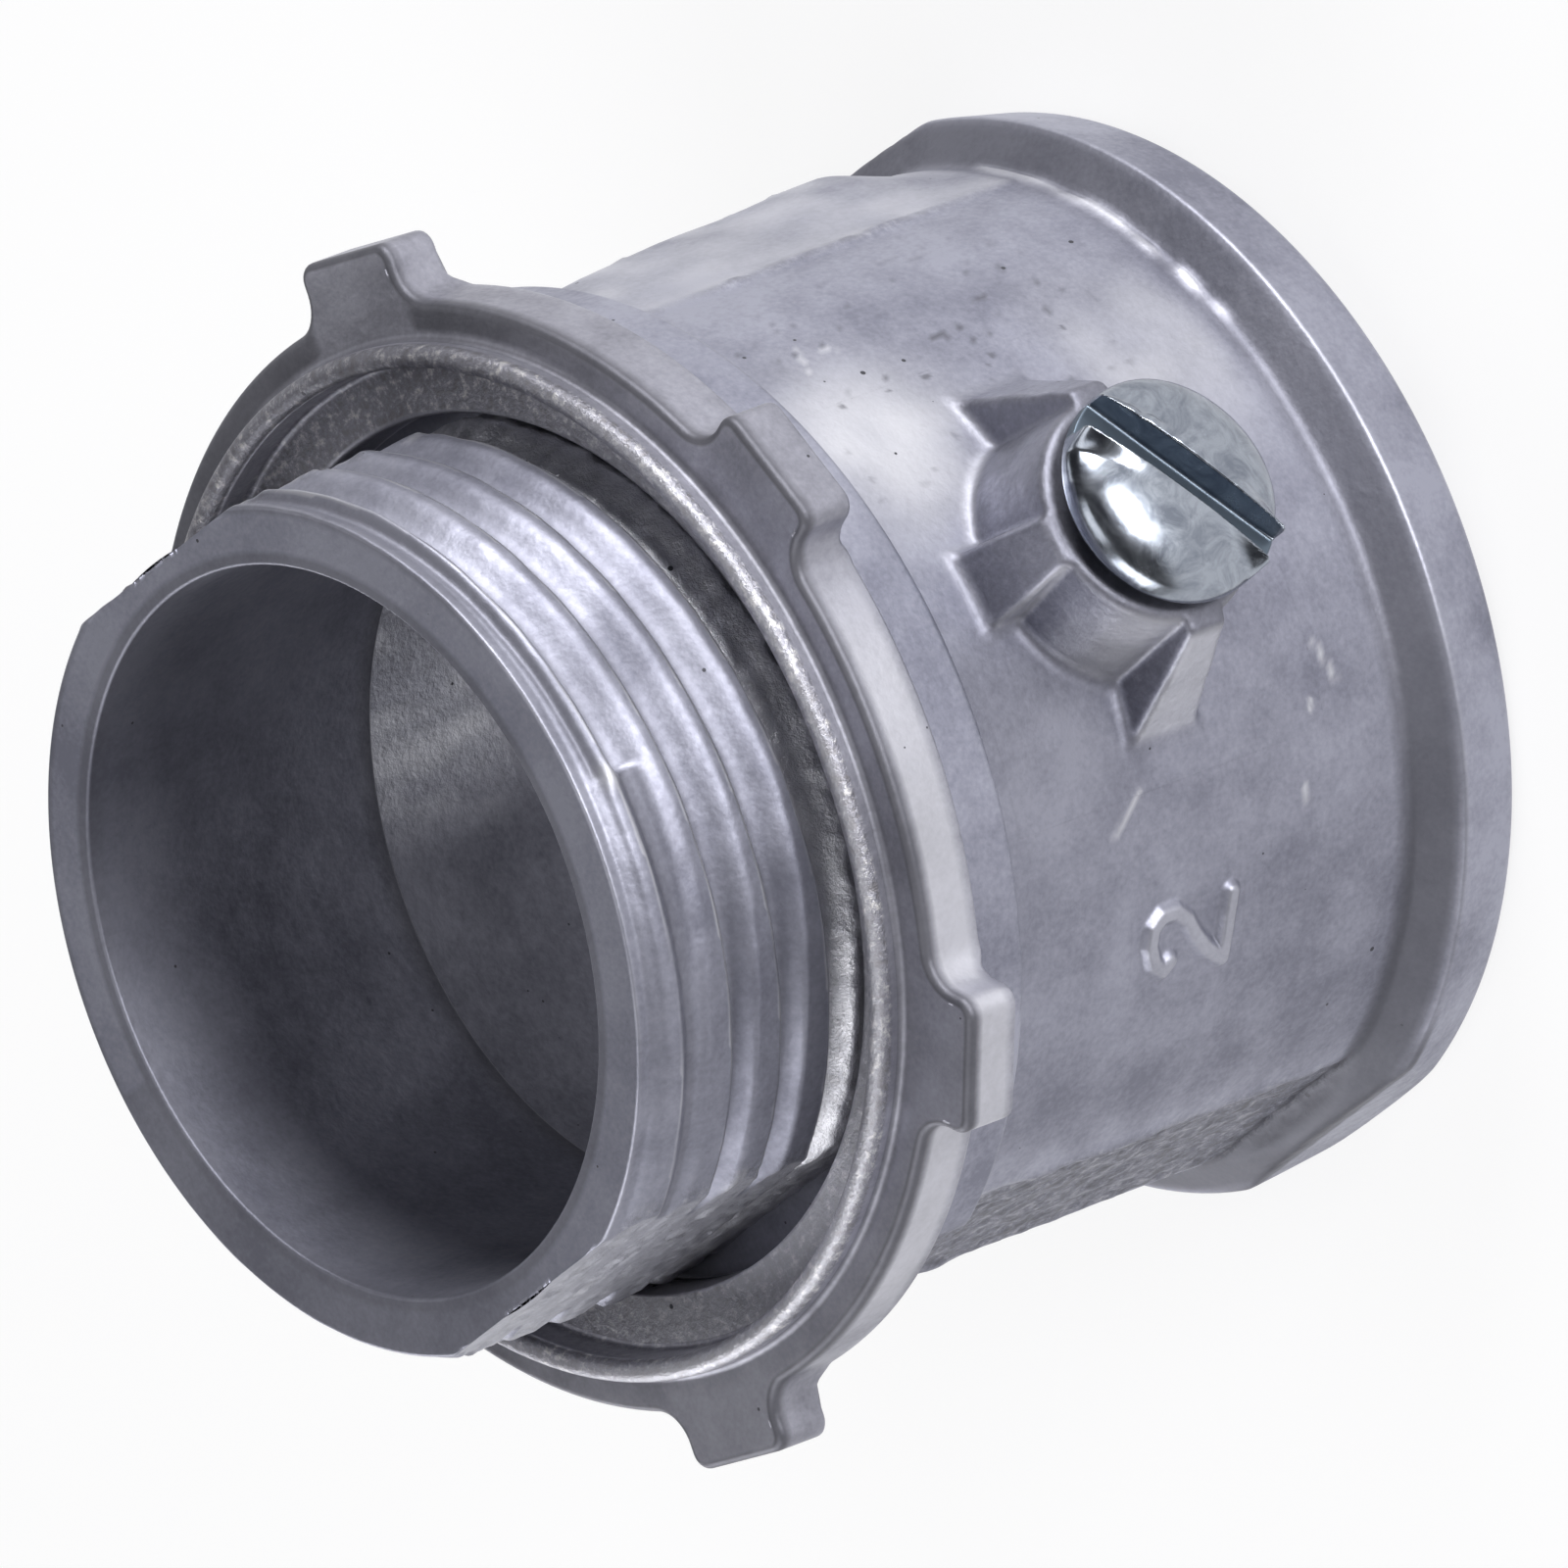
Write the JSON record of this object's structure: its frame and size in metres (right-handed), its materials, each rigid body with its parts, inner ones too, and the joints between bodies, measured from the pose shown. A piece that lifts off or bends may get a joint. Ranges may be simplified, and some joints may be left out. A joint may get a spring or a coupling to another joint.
{
  "type": "conduit connector with set screw",
  "caption": "Die-cast zinc connector that grips a rigid conduit with a side set screw and clamps to a box wall with its lugged locknut.",
  "frame": {"origin": "on the centre line, in the plane of the conduit mouth", "axes": "+Z along the centre line from the conduit mouth up to the threaded nose, +X out through the set screw, +Y across the parting flats"},
  "size_m": [0.0492, 0.0462, 0.04],
  "materials": {
    "zinc_casting": "as-cast zinc, dull, lightly scuffed",
    "zinc_locknut": "as-cast zinc, satin",
    "plated_steel": "bright zinc plate"
  },
  "bodies": {
    "casting": {"connector_body": "zinc_casting"},
    "nut": {"locknut": "zinc_locknut"},
    "screw": {"set_screw": "plated_steel"}
  },
  "joints": [
    {"name": "locknut_turn", "type": "hinge", "parent": "casting", "child": "nut", "pos_m": [0, 0, 0.0275], "axis": [0, 0, 1], "continuous": true},
    {"name": "screw_drive", "type": "slide", "parent": "casting", "child": "screw", "axis": [1, 0, 0], "range_m": [-0.0007, 0.003]}
  ]
}
